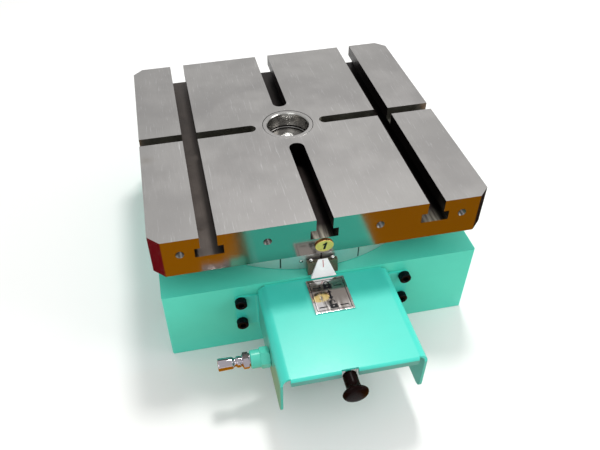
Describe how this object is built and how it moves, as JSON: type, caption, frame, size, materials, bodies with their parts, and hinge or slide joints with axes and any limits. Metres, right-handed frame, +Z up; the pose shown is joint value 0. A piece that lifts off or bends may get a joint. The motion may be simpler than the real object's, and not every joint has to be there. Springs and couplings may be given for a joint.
{
  "type": "rotary table",
  "caption": "Square hand-indexed rotary table with T-slots, centre bore, graduated ring, painted base, push-pull lock knob and air inlet under a folded front cover.",
  "frame": {"origin": "on the rotation axis, at the underside of the base", "axes": "+Z up along the rotation axis, front with pointer, cover and knob faces -Y, +X to the right seen from the front"},
  "size_m": [0.3646, 0.5143, 0.174],
  "materials": {
    "ground_iron": "ground and scraped top, satin",
    "ground_steel": "ground, bright",
    "dark_steel": "oiled, satin",
    "bronze": "turned",
    "disc_brass": "stamped, satin, black numeral",
    "mint_paint": "mint green enamel, semi-gloss",
    "black_oxide": "black oxide, satin",
    "bright_screw": "bright plated",
    "mirror_plate": "mirror polished, black printed border and signs",
    "pointer_plate": "polished, red index line",
    "bracket_black": "dark olive, satin",
    "plug_chrome": "nickel plated",
    "zinc": "zinc plated",
    "aluminium_body": "anodised, matte",
    "knob_plastic": "black, glossy",
    "fitting_plastic": "dark grey",
    "tube_blue": "polyurethane tube",
    "seal_rubber": "matte"
  },
  "bodies": {
    "base": {"air_plug": "plug_chrome", "base_casting": "mint_paint", "bearing_outer_race": "ground_steel", "bearing_retainer": "dark_steel", "bracket_screw_1": "black_oxide", "bracket_screw_2": "black_oxide", "bulkhead_fitting": "mint_paint", "bulkhead_inner_fitting": "fitting_plastic", "bulkhead_locknut": "zinc", "clamp_cylinder": "dark_steel", "clamp_tube": "tube_blue", "cover_screw_1": "black_oxide", "cover_screw_2": "black_oxide", "cover_screw_3": "black_oxide", "cover_screw_4": "black_oxide", "cylinder_cap": "aluminium_body", "cylinder_fitting": "fitting_plastic", "front_cover": "mint_paint", "index_housing": "aluminium_body", "index_pointer": "pointer_plate", "index_tube": "tube_blue", "label_plate": "mirror_plate", "pin_guide_bush": "bronze", "pointer_bracket": "bracket_black", "pointer_screw_1": "bright_screw", "pointer_screw_2": "bright_screw", "return_spring": "dark_steel", "spindle_lower_bush": "bronze", "supply_tube": "tube_blue", "valve_body": "aluminium_body", "valve_bracket": "zinc", "valve_clamp_fitting": "fitting_plastic", "valve_index_fitting": "fitting_plastic", "valve_inlet_fitting": "fitting_plastic"},
    "table": {"table_plate": "ground_iron", "center_bush": "ground_steel", "spindle": "ground_steel", "spindle_center_screw": "bright_screw", "spindle_nut": "dark_steel", "graduated_ring": "ground_steel", "index_drum": "dark_steel", "index_bush_1": "ground_steel", "index_bush_2": "ground_steel", "index_bush_3": "ground_steel", "index_bush_4": "ground_steel", "number_disc_1": "disc_brass", "number_disc_2": "disc_brass", "number_disc_3": "disc_brass", "number_disc_4": "disc_brass", "bearing_inner_race": "ground_steel"},
    "ball_cage": {"ball_cage": "bronze"},
    "knob": {"push_knob": "knob_plastic", "valve_spool": "ground_steel"},
    "index_pin": {"index_pin": "ground_steel", "pin_piston": "ground_steel", "piston_seal": "seal_rubber"},
    "clamp_piston": {"clamp_piston": "ground_steel", "clamp_seal": "seal_rubber"}
  },
  "joints": [
    {"name": "table_rotation", "type": "hinge", "parent": "base", "child": "table", "pos_m": [0, 0, 0.11], "axis": [0, 0, 1], "continuous": true},
    {"name": "cage_rotation", "type": "hinge", "parent": "base", "child": "ball_cage", "pos_m": [0, 0, 0.093], "axis": [0, 0, 1], "continuous": true},
    {"name": "knob_slide", "type": "slide", "parent": "base", "child": "knob", "axis": [0, 1, 0], "range_m": [0, 0.012]},
    {"name": "index_pin_slide", "type": "slide", "parent": "base", "child": "index_pin", "axis": [0, 1, 0], "range_m": [0, 0.012], "deforming": ["return_spring"]},
    {"name": "clamp_slide", "type": "slide", "parent": "base", "child": "clamp_piston", "axis": [0, 0, 1], "range_m": [0, 0.001]}
  ],
  "couplings": [
    {"joint": "cage_rotation", "follows": "table_rotation", "ratio": 0.5},
    {"joint": "index_pin_slide", "follows": "knob_slide", "ratio": 1},
    {"joint": "clamp_slide", "follows": "knob_slide", "ratio": 0.08333}
  ]
}
